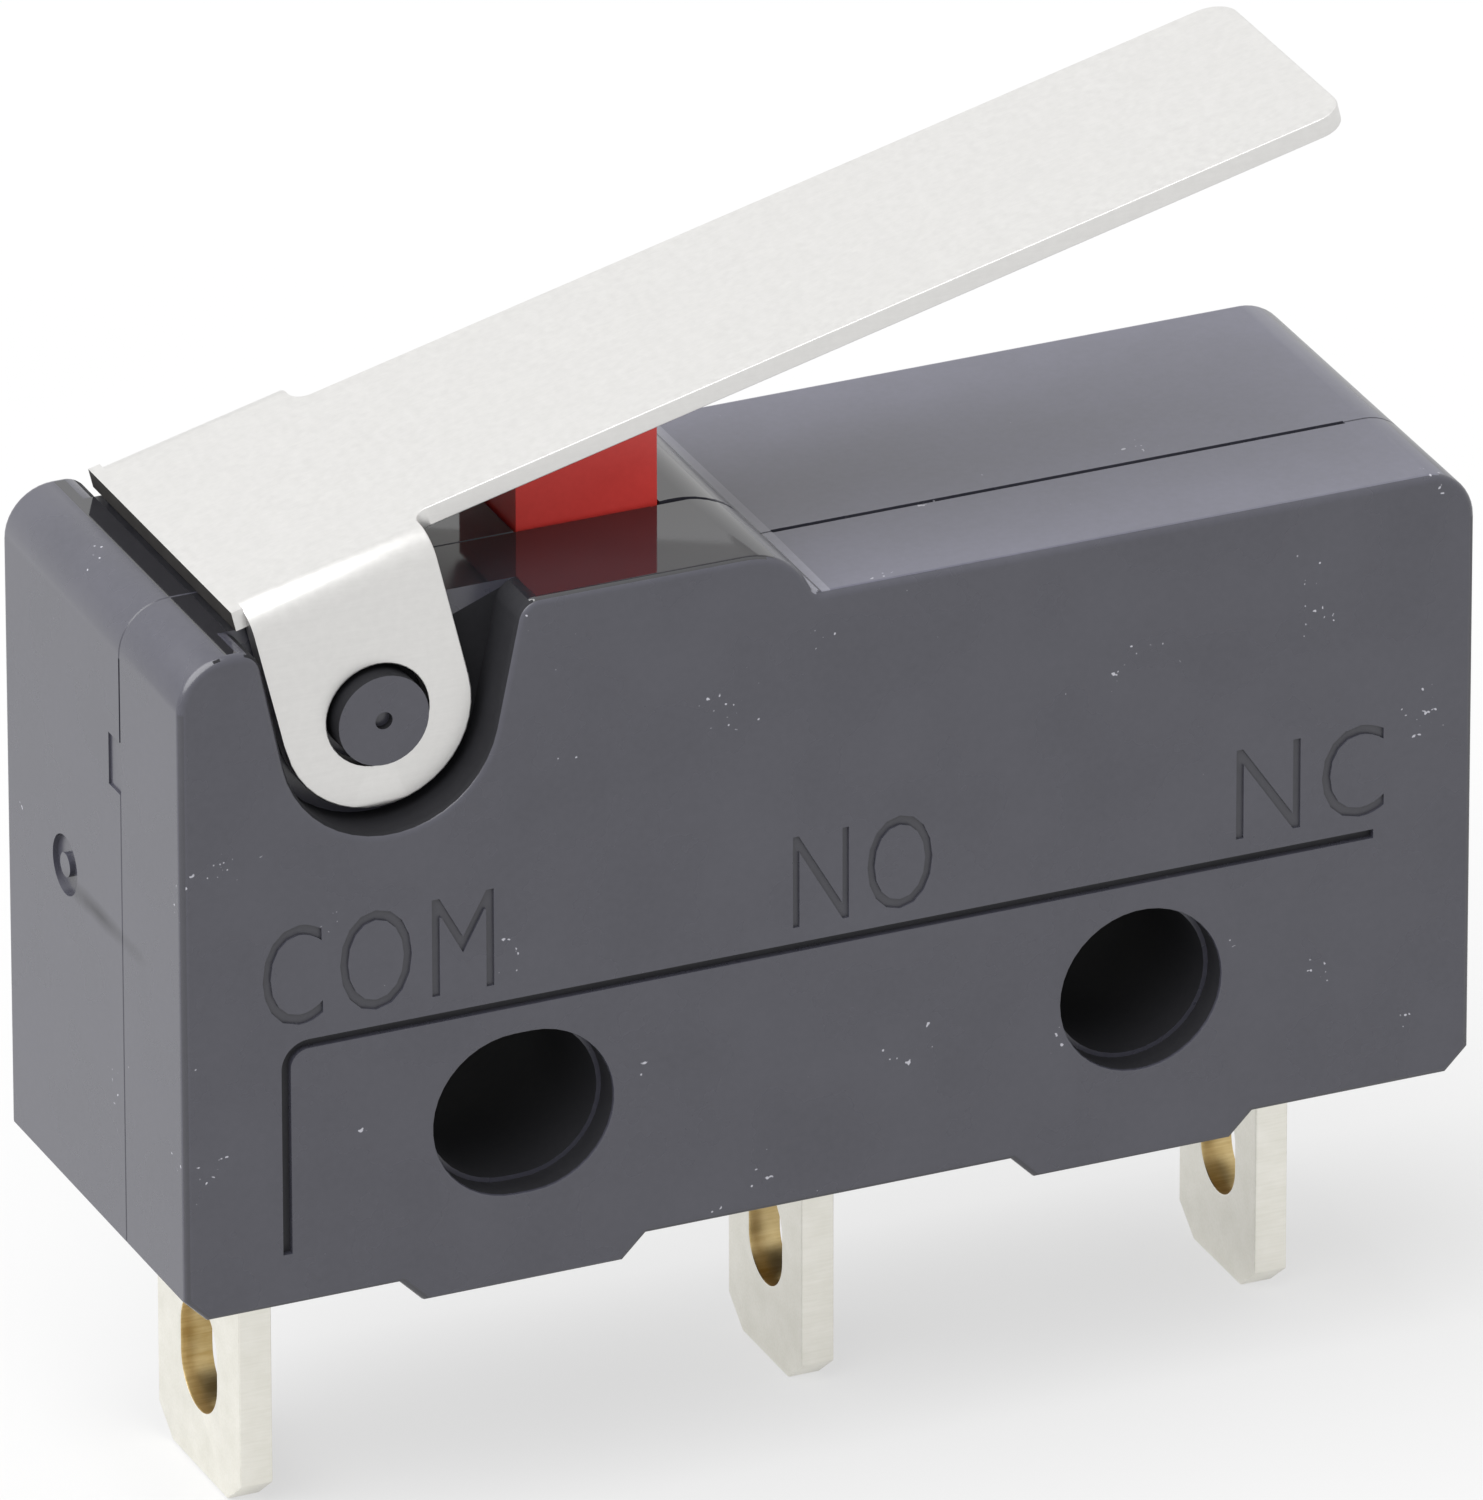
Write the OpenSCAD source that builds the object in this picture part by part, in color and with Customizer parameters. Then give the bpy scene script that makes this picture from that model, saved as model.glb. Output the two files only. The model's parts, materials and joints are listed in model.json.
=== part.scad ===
// Subminiature snap-action switch with a hinged lever.
// Millimetres, +Z up. X runs along the housing, from the common terminal to the contacts.
// Y runs from the front cover to the back of the case.
// The origin lies on the axis of the round mounting hole, halfway through the housing.
// The modules draw in a bench frame, with X from the left end, Y from mid depth and Z from the base,
// and placed() moves the drawing to the origin.

/* [Housing] */
// Length of the housing
body_l = 19.8; // [19.6:0.1:21]
// Depth over both shells
body_d = 6.4; // [6.2:0.1:7]
// Head room over the upper contact arm
head_room = 0.69; // [0.5:0.01:1]
// Step from the roof up to the deck around the plunger
deck_step = 0.75; // [0.6:0.05:0.9]
// Depth of the front cover
cover_d = 2.15; // [1.9:0.05:2.3]
// Wall around the inside
wall = 0.9; // [0.75:0.05:1.05]
// Thickness of the floor
floor_t = 1; // [0.8:0.05:1.2]
// Radius of the shoulder where the deck drops to the roof
shoulder_r = 1.05; // [0.9:0.05:1.2]
// Fillet at the foot of the shoulder
shoulder_fillet = 0.2; // [0.1:0.05:0.3]
// Distance from the plunger's middle to where the shoulder begins
deck_reach = 1.5; // [1.3:0.05:2]
// Radius of the top edge over the common terminal
left_edge_r = 0.75; // [0.5:0.05:0.8]
// Radius of the top edge over the contacts
right_edge_r = 0.75; // [0.5:0.05:0.9]
// Chamfer at the two ends of the base
base_chamfer = 0.35; // [0.2:0.05:0.5]
// Gap over the bracket, between the lever's ears
neck_gap = 0.2; // [0.1:0.05:0.4]
// Wall between the inside and the floors of the pockets
neck_web = 0.52; // [0.4:0.02:0.6]
// Web between the pockets of the ears and the inside
web_t = 0.6; // [0.5:0.05:0.7]
// Diameter of the gate mark on the left end
gate_d = 0.9; // [0.6:0.05:1.1]
// Distance of the gate mark behind mid depth
gate_y = 1.03; // [0.6:0.01:1.6]
// Height of the gate mark over the base
gate_up = 5.3; // [4.5:0.05:5.8]
// Depth of the gate mark
gate_depth = 0.08; // [0.04:0.02:0.2]

/* [Mounting] */
// Diameter of the round mounting hole
hole_d = 2.35; // [2.2:0.05:2.5]
// How much longer the slotted hole is
slot_extra = 0.25; // [0.1:0.05:0.5]
// Distance from each hole to its end of the housing
hole_end = 5.15; // [4.7:0.05:5.6]
// Height of the holes over the base
hole_up = 2.3; // [2.1:0.05:2.6]
// Wall of the posts around the holes
post_wall = 0.8; // [0.6:0.05:0.9]
// Depth of the shallow step in the front mouth of each hole
rim_depth = 0.45; // [0.2:0.05:0.6]
// Width of the shallow step
rim_w = 0.07; // [0.05:0.01:0.1]
// Diameter of the pins that line up the cover
pin_d = 0.7; // [0.5:0.05:0.75]
// Length of those pins
pin_l = 0.9; // [0.6:0.05:1.1]
// Clearance of the pins in the case
pin_gap = 0.05; // [0.03:0.01:0.06]
// Distance of the right foot's middle before the round hole
foot_shift = 0.1; // [0:0.05:0.3]
// Length of the flat under each foot
foot_l = 3.06; // [2.6:0.05:3.4]
// Height of the feet
foot_h = 0.35; // [0.2:0.05:0.5]
// Length of the ramp at each end of a foot
foot_ramp = 0.35; // [0.2:0.05:0.5]

/* [Front face] */
// Width of the engraved line
line_w = 0.14; // [0.1:0.02:0.2]
// Depth of the engraved line
line_depth = 0.1; // [0.06:0.02:0.14]
// Distance from the ends of the housing to the engraved line
line_inset = 1.55; // [1.4:0.05:1.8]
// Height at which the engraved line starts
line_low = 0.82; // [0.6:0.05:1.2]
// Height of its level stretch
line_high = 4.04; // [3.95:0.02:4.2]
// Radius of its corner
line_r = 0.35; // [0.2:0.05:0.5]

/* [Lever] */
// Distance from the left end to the pivot
pivot_x = 3.18; // [3:0.02:3.5]
// Depth of the pivot under the deck
pivot_drop = 1.54; // [1.4:0.02:1.7]
// Angle at which the lever stands at rest
lever_rise = 13.9; // [12.5:0.1:15]
// Distance from the pivot to the tip
lever_l = 16.14; // [12:0.1:18]
// Width of the arm
lever_w = 4.12; // [3.4:0.02:4.3]
// Thickness of the sheet
lever_t = 0.3; // [0.25:0.01:0.34]
// Gap between the lever's tail and the deck it rests over
tail_gap = 0.066; // [0.04:0.002:0.12]
// Reach of the tail past the ears
tail_over = 0.18; // [0.1:0.02:0.3]
// Distance of the tail's sides inside the ears' faces
tail_inset = 0.18; // [0.1:0.02:0.3]
// Width over the two ears
ear_span = 5.5; // [5.3:0.02:5.7]
// Radius of the ears
ear_r = 1.42; // [1.3:0.02:1.5]
// Inner radius of the folds
fold_in = 0.1; // [0.06:0.02:0.2]
// Radius of the corners at the tip
tip_r = 0.45; // [0.2:0.05:0.8]
// Fillet where the ears meet the arm
ear_fillet = 0.25; // [0.1:0.05:0.3]
// Diameter of the bosses that carry the lever
boss_d = 1.36; // [1.2:0.02:1.5]
// Radial clearance of the ears on the bosses
boss_gap = 0.09; // [0.04:0.01:0.1]
// Diameter of the dimple in each boss
dimple_d = 0.26; // [0.16:0.02:0.4]
// Reach of the bosses past the ears
boss_proud = 0.2; // [0.1:0.02:0.3]
// Gap around the ears in their pockets
pocket_gap = 0.2; // [0.16:0.02:0.26]
// Extra half width of the pockets at the deck
pocket_flare = 0.36; // [0.3:0.02:0.4]
// Gap between the ears and the floors of their pockets
ear_gap = 0.05; // [0.03:0.01:0.08]
// Rounding of the housing's top beside the pockets
horn_r = 0.35; // [0.2:0.05:0.4]

/* [Plunger] */
// Distance from the pivot to the plunger's middle
plunger_reach = 3.92; // [3.8:0.02:4.3]
// Width of the plunger along the housing
plunger_w = 2.15; // [1.9:0.05:2.2]
// Radius of the plunger's top
dome_r = 3; // [2.5:0.1:3.5]
// Clearance of the plunger in its guide
guide_gap = 0.05; // [0.03:0.01:0.08]
// Gap between pieces that press on each other
touch_gap = 0.03; // [0.02:0.01:0.05]
// Reach of the collar that keeps the plunger in
collar_reach = 0.35; // [0.2:0.05:0.4]
// Height of the collar
collar_h = 0.5; // [0.35:0.05:0.6]
// Gap between the collar and the ceiling
collar_gap = 0.05; // [0.03:0.01:0.1]
// Radius of the plunger's foot
plunger_foot_r = 0.6; // [0.5:0.05:0.65]
// Depth of the plunger's foot
plunger_foot_d = 1.1; // [0.9:0.05:1.2]

/* [Terminals] */
// Distance from the left end to the common terminal
com_x = 1.75; // [1.65:0.05:1.9]
// Distance of the normally open terminal past the middle
no_shift = 0.6; // [0:0.05:0.9]
// Distance from the right end to the normally closed terminal
nc_end = 2.2; // [2:0.05:2.4]
// Thickness of the terminals
term_t = 0.5; // [0.4:0.02:0.52]
// Width of the common terminal
com_w = 3; // [2.6:0.05:3.2]
// Width of the other two terminals
term_w = 2.6; // [2.3:0.05:2.8]
// Length of the terminals below the base
term_l = 4.05; // [3.6:0.05:5]
// Chamfer across the terminals' tips
tip_chamfer_w = 0.5; // [0.3:0.05:0.6]
// Chamfer up the terminals' tips
tip_chamfer_h = 0.4; // [0.3:0.05:0.6]
// Width of the slot in the common terminal
com_slot_w = 1.3; // [1:0.05:1.4]
// Width of the slots in the other two
term_slot_w = 1.15; // [0.9:0.05:1.2]
// Height of the common terminal's slot
com_slot_h = 1.75; // [1.5:0.05:1.9]
// Height of the other two slots
term_slot_h = 1.55; // [1.3:0.05:1.7]
// Distance from the base down to the slots
slot_drop = 1.35; // [1.2:0.05:1.5]
// Width of the shoulders that seat on the floor
seat_w = 3.6; // [3.5:0.02:3.7]
// Height of those shoulders
seat_h = 0.8; // [0.5:0.05:1.1]
// Clearance of the terminals in the floor
term_gap = 0.03; // [0.02:0.01:0.05]
// Inner radius of the terminals' bends
bend_r = 0.2; // [0.1:0.05:0.3]
// Gap between the posts and the terminals' lower arms
arm_gap = 0.175; // [0.1:0.005:0.3]
// Width of the contact arms
arm_w = 2.4; // [2.2:0.05:2.6]

/* [Contacts] */
// Distance from the normally closed terminal to the contacts
contact_in = 1.4; // [1.3:0.05:1.7]
// Diameter of the contacts
contact_d = 1.6; // [1.3:0.05:1.7]
// Thickness of a contact's head
contact_t = 0.42; // [0.35:0.01:0.45]
// Diameter of the rivet shanks
shank_d = 0.8; // [0.7:0.05:0.9]
// Clearance around the shanks
shank_gap = 0.02; // [0.02:0.01:0.03]
// Opening between the contacts
contact_gap = 0.55; // [0.45:0.01:0.6]

/* [Snap mechanism] */
// Thickness of the contact blade
blade_t = 0.15; // [0.12:0.01:0.2]
// Width of the contact blade
blade_w = 2.8; // [2.6:0.05:2.9]
// Width of the window in the blade
window_w = 1.6; // [1.5:0.05:1.7]
// Distance from the common terminal to the blade's knife edge
knife_reach = 2.38; // [2.2:0.02:2.6]
// Length of the tapered stretch of the blade
taper_l = 1.3; // [1:0.1:1.6]
// Distance from the blade's taper to the contacts
taper_end = 1.2; // [1:0.1:1.5]
// Distance from the rocker's tip to the tab that holds the spring
spring_reach = 3.15; // [2.9:0.05:3.4]
// Height of that tab over the blade
post_h = 0.75; // [0.7:0.01:0.85]
// Width of that tab
post_w = 0.8; // [0.5:0.05:1]
// Gap between the blade and the rocker
rocker_gap = 0.61; // [0.55:0.01:0.7]
// Thickness of the rocker
rocker_t = 0.25; // [0.2:0.01:0.3]
// Width of the rocker
rocker_w = 1.2; // [1:0.05:1.25]
// Width of the rocker's tail behind the knife edge
rocker_tail_w = 2.8; // [2.4:0.05:2.9]
// Length of that tail
rocker_tail_l = 0.4; // [0.3:0.05:0.5]
// Distance from the plunger's middle to the rocker's tip
rocker_reach = 1.8; // [1.6:0.05:2.1]
// Height of the bracket over the rocker
bracket_over = 0.35; // [0.3:0.01:0.45]
// Diameter of the hole for the spring's hook
hook_d = 0.36; // [0.3:0.02:0.4]
// Diameter of the spring wire
wire_d = 0.16; // [0.12:0.01:0.18]
// Outer diameter of the spring
spring_d = 0.9; // [0.8:0.02:0.95]
// Turns of the spring
spring_turns = 9; // [7:1:11]

/* [Hidden] */
$fn = 64;
// Overshoot of the cuts
cut = 0.1;
front_y = -body_d / 2;
back_y = body_d / 2;
part_y = front_y + cover_d;
inside_d = body_d / 2 - wall;
// Places along the housing
slot_x = hole_end;
round_x = body_l - hole_end;
plunger_x = pivot_x + plunger_reach;
shoulder_x = plunger_x + deck_reach;
no_x = body_l / 2 + no_shift;
nc_x = body_l - nc_end;
contact_x = nc_x - contact_in;
contact_end = contact_x + contact_d / 2;
knife_x = com_x + knife_reach;
rocker_x = knife_x - term_t + 0.06;
rocker_tip_x = plunger_x + rocker_reach;
hook_x = rocker_tip_x - 0.4;
post_x = rocker_tip_x + spring_reach;
// Heights from the posts up to the deck
slot_half = slot_extra / 2;
post_r = hole_d / 2 + post_wall;
arm_h = hole_up + post_r + arm_gap + term_t;
blade_z = arm_h + 2 * contact_t + contact_gap;
nc_face = blade_z + blade_t + contact_t + touch_gap;
nc_arm_z = nc_face + contact_t;
ceiling = nc_arm_z + term_t + head_room;
roof_h = ceiling + wall;
deck_h = roof_h + deck_step;
pivot_h = deck_h - pivot_drop;
rocker_h = blade_z + blade_t + rocker_gap + rocker_t;
rocker_z = rocker_h - rocker_t / 2;
knife_z = blade_z + blade_t / 2;
bracket_h = rocker_h + bracket_over;
neck_h = bracket_h + neck_gap;
pin_low = (hole_up - hole_d / 2 - foot_h) / 2;
pin_high = (neck_h + deck_h) / 2;
pin_places = [[slot_x, pin_low], [round_x - foot_shift, pin_low], [pivot_x, pin_high]];
// Pockets of the lever's ears, measured from the pivot
pocket_floor = ear_span / 2 - lever_t - ear_gap;
pocket_r = ear_r + pocket_gap;
pocket_half = pocket_r + pocket_flare;
pocket_far = sqrt(pow(pocket_half, 2) + pow(pivot_drop, 2));
flare_a = acos(pocket_r / pocket_far) - atan2(pivot_drop, pocket_half);
horn_c = pocket_half + horn_r * (1 - sin(flare_a)) / cos(flare_a);
low_ceiling = pivot_h - pocket_r - web_t;
neck_half_d = pocket_floor - neck_web;
// Fillet at the foot of the shoulder
shoulder_z = deck_h - shoulder_r;
fillet_z = roof_h + shoulder_fillet;
fillet_reach = shoulder_r + shoulder_fillet;
fillet_x = shoulder_x + sqrt(pow(fillet_reach, 2) - pow(fillet_z - shoulder_z, 2));
// Lever, whose tail rests over the deck
fold_r = lever_t + fold_in;
tail_l = ear_r + tail_over;
tail_half_w = ear_span / 2 - tail_inset;
under_up = (pivot_drop + tail_gap + tail_l * sin(lever_rise)) / cos(lever_rise);
lever_up = under_up + lever_t;
// Plunger, between the lever and the rocker
plunger_d = 2 * (-part_y - guide_gap);
dome_rise = (under_up - dome_r - touch_gap + plunger_reach * sin(lever_rise)) / cos(lever_rise);
dome_top = pivot_h + dome_rise + dome_r;
collar_top = ceiling - collar_gap;
collar_x = plunger_w / 2 + collar_reach;
foot_z = rocker_h + touch_gap + plunger_foot_r;
high_x = plunger_x - collar_x - 0.12;
// Depth of the knife edges' notches
notch = 0.15;
// Spring wire
coil_r = (spring_d - wire_d) / 2;
coil_start = rocker_tip_x + 0.4;
coil_end = post_x - 0.55;
coil_steps = 14;

// Moves a drawing from the bench frame to the part's own frame
module placed() {
    translate([hole_end - body_l, 0, -hole_up]) children();
}

// Extrudes an outline drawn in X and Z from one depth to another
module across(y0, y1) {
    translate([0, y1, 0]) rotate([90, 0, 0]) linear_extrude(y1 - y0) children();
}

// Quarter of a bent strip, turned so that it starts at the given angle
module quarter_bend(inner, outer, turn) {
    rotate(turn) intersection() {
        difference() {
            circle(outer);
            circle(inner);
        }
        square(outer + 1);
    }
}

module foot(x) {
    half = foot_l / 2;
    translate([x, 0]) polygon([
        [-half - foot_ramp, 0], [-half, -foot_h], [half, -foot_h], [half + foot_ramp, 0],
        [half + foot_ramp, 0.2], [-half - foot_ramp, 0.2]
    ]);
}

// Outline of the housing, seen from the front
module outline() {
    polygon([
        [base_chamfer, 0], [body_l - base_chamfer, 0], [body_l, base_chamfer],
        [body_l, roof_h - right_edge_r], [body_l - right_edge_r, roof_h], [0, roof_h],
        [0, base_chamfer]
    ]);
    translate([body_l - right_edge_r, roof_h - right_edge_r]) circle(right_edge_r);
    polygon([
        [0, 1], [shoulder_x, 1], [shoulder_x, deck_h], [left_edge_r, deck_h],
        [0, deck_h - left_edge_r]
    ]);
    translate([left_edge_r, deck_h - left_edge_r]) circle(left_edge_r);
    translate([shoulder_x, shoulder_z]) circle(shoulder_r);
    difference() {
        polygon([
            [shoulder_x, roof_h - 0.1], [fillet_x, roof_h - 0.1], [fillet_x, fillet_z],
            [shoulder_x, shoulder_z]
        ]);
        translate([fillet_x, fillet_z]) circle(shoulder_fillet);
    }
    foot(slot_x);
    foot(round_x - foot_shift);
}

// Outline of the pocket around an ear, with its two top corners rounded
module pocket_outline() {
    side_way = [cos(flare_a), -sin(flare_a)];
    corner = [horn_c, pivot_drop - horn_r];
    lip = pocket_half - 0.1;
    translate([pivot_x, pivot_h]) {
        circle(pocket_r);
        for (side = [0, 1]) mirror([side, 0]) {
            polygon([
                [0, 0], pocket_r * side_way, [pocket_half, pivot_drop],
                [pocket_half, pivot_drop + 1], [0, pivot_drop + 1]
            ]);
            difference() {
                polygon([
                    corner, corner - horn_r * side_way, corner - (horn_r + 0.1) * side_way,
                    [lip, pivot_drop], [lip, pivot_drop + 1], [horn_c, pivot_drop + 1]
                ]);
                translate(corner) circle(horn_r);
            }
        }
    }
}

module slot_outline(r) {
    for (side = [-1, 1]) translate([slot_x + side * slot_half, hole_up]) circle(r);
    translate([slot_x - slot_half, hole_up - r]) square([2 * slot_half, 2 * r]);
}

module hole_outline(r) {
    translate([round_x, hole_up]) circle(r);
}

// Space inside both shells
module inside() {
    across(-inside_d, inside_d) polygon([
        [wall, floor_t], [body_l - wall, floor_t], [body_l - wall, ceiling],
        [high_x, ceiling], [high_x, low_ceiling], [wall, low_ceiling]
    ]);
    translate([wall, -neck_half_d, low_ceiling - 1])
        cube([high_x - wall + cut, 2 * neck_half_d, neck_h - low_ceiling + 1]);
}

module terminal_passage(x, w) {
    half = w / 2 + term_gap;
    translate([x - term_t / 2 - term_gap, -half, -foot_h - 1])
        cube([term_t + 2 * term_gap, 2 * half, foot_h + 1 + floor_t + cut]);
}

// Pocket, boss and dimple of one ear, on the side of the given sign
module ear_pocket(side) {
    near = side * pocket_floor;
    far = side * (body_d / 2 + cut);
    across(min(near, far), max(near, far)) pocket_outline();
}

module boss(side) {
    reach = ear_span / 2 + boss_proud;
    translate([pivot_x, 0, pivot_h]) rotate([-90 * side, 0, 0]) difference() {
        translate([0, 0, neck_half_d + 0.2]) cylinder(h = reach - neck_half_d - 0.2, r = boss_d / 2);
        translate([0, 0, reach - 0.12]) cylinder(h = 1, r = dimple_d / 2);
    }
}

// What both shells share, between two depths
module shell(y0, y1) {
    difference() {
        union() {
            difference() {
                across(y0, y1) outline();
                inside();
            }
            intersection() {
                across(y0, y1) {
                    slot_outline(post_r);
                    hole_outline(post_r);
                }
                across(-inside_d - cut, inside_d + cut) square([body_l, ceiling]);
            }
        }
        across(y0 - 1, y1 + 1) {
            slot_outline(hole_d / 2);
            hole_outline(hole_d / 2);
        }
        for (side = [-1, 1]) ear_pocket(side);
        terminal_passage(com_x, com_w);
        terminal_passage(no_x, term_w);
        terminal_passage(nc_x, term_w);
        across(front_y - 1, front_y + rim_depth) {
            slot_outline(hole_d / 2 + rim_w);
            hole_outline(hole_d / 2 + rim_w);
        }
    }
}

module pins(r, l) {
    for (at = pin_places) translate([at[0], part_y - cut, at[1]]) rotate([-90, 0, 0])
        cylinder(h = l + cut, r = r);
}

// Rear shell with the guide of the plunger
module case() {
    color("#5c5c62") placed() {
        difference() {
            shell(part_y, back_y);
            pins(pin_d / 2 + pin_gap, pin_l + 0.1);
            translate([plunger_x - plunger_w / 2 - guide_gap, part_y - 1, ceiling - cut])
                cube([plunger_w + 2 * guide_gap, plunger_d + 2 * guide_gap + 1, deck_h]);
            translate([-1, gate_y, gate_up]) rotate([0, 90, 0])
                cylinder(h = 1 + gate_depth, r = gate_d / 2);
        }
        translate([0, gate_y, gate_up]) rotate([0, 90, 0]) cylinder(h = wall / 2, r = gate_d / 5);
        boss(1);
    }
}

// Line engraved around the two holes
module line_outline() {
    half = line_w / 2;
    left = line_inset + line_r;
    top = line_high - line_r;
    translate([line_inset - half, line_low]) square([line_w, top - line_low]);
    translate([left, line_high - half]) square([body_l - line_inset - left, line_w]);
    translate([left, top]) quarter_bend(line_r - half, line_r + half, 90);
}

// Front shell
module cover() {
    color("#5c5c62") placed() {
        difference() {
            shell(front_y, part_y);
            across(front_y - 1, front_y + line_depth) line_outline();
        }
        pins(pin_d / 2, pin_l);
        boss(-1);
    }
}

module plunger() {
    color("#be2d2d") placed() {
        intersection() {
            translate([plunger_x - plunger_w / 2, -plunger_d / 2, collar_top - collar_h])
                cube([plunger_w, plunger_d, dome_top]);
            across(-plunger_d, plunger_d) {
                translate([plunger_x, dome_top - dome_r]) circle(dome_r, $fn = 128);
                translate([plunger_x - plunger_w, collar_top - collar_h])
                    square([2 * plunger_w, dome_top - dome_r - collar_top + collar_h]);
            }
        }
        translate([plunger_x - collar_x, -plunger_d / 2, collar_top - collar_h])
            cube([2 * collar_x, plunger_d, collar_h]);
        across(-plunger_foot_d / 2, plunger_foot_d / 2) {
            translate([plunger_x, foot_z]) circle(plunger_foot_r);
            translate([plunger_x - plunger_foot_r, foot_z])
                square([2 * plunger_foot_r, collar_top - foot_z - collar_h / 2]);
        }
    }
}

// Lever: flat sheet seen from above, lengthways from the pivot
module lever_plan() {
    flat_half = ear_span / 2 - fold_r;
    difference() {
        union() {
            translate([-ear_r, -flat_half]) square([2 * ear_r, 2 * flat_half]);
            translate([-tail_l, -tail_half_w]) square([tail_l - ear_r, 2 * tail_half_w]);
            translate([0, -lever_w / 2]) square([lever_l - tip_r, lever_w]);
            translate([0, -lever_w / 2 + tip_r]) square([lever_l, lever_w - 2 * tip_r]);
            for (side = [-1, 1]) translate([lever_l - tip_r, side * (lever_w / 2 - tip_r)])
                circle(tip_r);
            for (side = [-1, 1]) translate([ear_r, side * lever_w / 2]) difference() {
                translate([-0.01, side < 0 ? -ear_fillet : -0.01])
                    square([ear_fillet + 0.01, ear_fillet + 0.01]);
                translate([ear_fillet, side * ear_fillet]) circle(ear_fillet);
            }
        }
    }
}

module lever_fold() {
    fold_z = lever_up - fold_r;
    translate([-ear_r, ear_span / 2 - fold_r, fold_z]) rotate([90, 0, 90])
        linear_extrude(2 * ear_r) quarter_bend(fold_r - lever_t, fold_r, 0);
    across(ear_span / 2 - lever_t, ear_span / 2) difference() {
        union() {
            circle(ear_r);
            translate([-ear_r, 0]) square([2 * ear_r, fold_z]);
        }
        circle(boss_d / 2 + boss_gap);
    }
}

// Lever folded from one strip, with the two ears that snap over the bosses
module lever() {
    color("#ebeae8") placed() {
        translate([pivot_x, 0, pivot_h]) rotate([0, -lever_rise, 0]) {
            translate([0, 0, lever_up - lever_t]) linear_extrude(lever_t) lever_plan();
            lever_fold();
            mirror([0, 1, 0]) lever_fold();
        }
    }
}

// Face of a terminal, across the housing and up
module terminal_outline(w, slot_w, slot_h, inner_w, top) {
    half = w / 2;
    tip = half - tip_chamfer_w;
    r = slot_w / 2;
    difference() {
        polygon([
            [-half, floor_t], [-half, tip_chamfer_h - term_l], [-tip, -term_l], [tip, -term_l],
            [half, tip_chamfer_h - term_l], [half, floor_t], [seat_w / 2, floor_t],
            [seat_w / 2, floor_t + seat_h], [inner_w / 2, floor_t + seat_h], [inner_w / 2, top],
            [-inner_w / 2, top], [-inner_w / 2, floor_t + seat_h], [-seat_w / 2, floor_t + seat_h],
            [-seat_w / 2, floor_t]
        ]);
        translate([0, -slot_drop - r]) circle(r);
        translate([0, -slot_drop - slot_h + r]) circle(r);
        translate([-r, -slot_drop - slot_h + r]) square([slot_w, slot_h - slot_w]);
    }
}

module terminal_plate(x, w, slot_w, slot_h, inner_w, top) {
    translate([x - term_t / 2, 0, 0]) rotate([90, 0, 90]) linear_extrude(term_t)
        terminal_outline(w, slot_w, slot_h, inner_w, top);
}

// Common terminal, bent into the bracket with the knife edges of the blade and the rocker
module com_terminal() {
    bend_x = com_x + term_t / 2 + bend_r;
    bend_z = arm_h - term_t - bend_r;
    rise_x = knife_x - term_t - bend_r;
    color("#cfcabf") placed() {
        terminal_plate(com_x, com_w, com_slot_w, com_slot_h, com_w, bend_z);
        difference() {
            across(-com_w / 2, com_w / 2) {
                translate([bend_x, bend_z]) quarter_bend(bend_r, bend_r + term_t, 90);
                translate([bend_x, arm_h - term_t]) square([rise_x - bend_x, term_t]);
                translate([rise_x, arm_h + bend_r]) quarter_bend(bend_r, bend_r + term_t, 270);
                translate([knife_x - term_t, arm_h + bend_r])
                    square([term_t, bracket_h - arm_h - bend_r]);
            }
            translate([rise_x, -rocker_w / 2 - 0.1, knife_z])
                cube([2, rocker_w + 0.2, bracket_h]);
            across(-com_w, com_w) polygon([
                [knife_x - notch, knife_z], [knife_x + notch, knife_z - 2 * notch],
                [knife_x + notch, knife_z + 2 * notch]
            ]);
            across(-com_w, com_w) translate([knife_x - term_t - 1, rocker_z - 0.24])
                square([1.12, 0.48]);
        }
    }
}

module no_terminal() {
    bend_x = no_x + term_t / 2 + bend_r;
    bend_z = arm_h - term_t - bend_r;
    color("#cfcabf") placed() {
        terminal_plate(no_x, term_w, term_slot_w, term_slot_h, arm_w, bend_z);
        difference() {
            across(-arm_w / 2, arm_w / 2) {
                translate([bend_x, bend_z]) quarter_bend(bend_r, bend_r + term_t, 90);
                translate([bend_x, arm_h - term_t]) square([contact_end - bend_x, term_t]);
            }
            shank_hole(arm_h - term_t);
        }
    }
}

module nc_terminal() {
    bend_x = nc_x - term_t / 2 - bend_r;
    bend_z = nc_arm_z - bend_r;
    left = contact_x - contact_d / 2;
    color("#cfcabf") placed() {
        terminal_plate(nc_x, term_w, term_slot_w, term_slot_h, arm_w, bend_z);
        difference() {
            across(-arm_w / 2, arm_w / 2) {
                translate([bend_x, bend_z]) quarter_bend(bend_r, bend_r + term_t, 0);
                translate([left, nc_arm_z]) square([bend_x - left, term_t]);
            }
            shank_hole(nc_arm_z);
        }
    }
}

module shank_hole(z) {
    translate([contact_x, 0, z - 0.5]) cylinder(h = 1 + term_t, r = shank_d / 2 + shank_gap);
}

// Rivet head with a bevelled face, standing on the level z
module contact_head(z, up) {
    r = contact_d / 2;
    bevel = 0.12;
    translate([contact_x, 0, z]) mirror([0, 0, up ? 0 : 1]) rotate_extrude() polygon([
        [0, 0], [r, 0], [r, contact_t - bevel], [r - bevel, contact_t], [0, contact_t]
    ]);
}

module shank(z, l) {
    translate([contact_x, 0, z]) cylinder(h = l, r = shank_d / 2);
}

module no_contact() {
    color("#d9d6cc") placed() {
        contact_head(arm_h, true);
        shank(arm_h - term_t, term_t + 0.1);
    }
}

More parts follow.
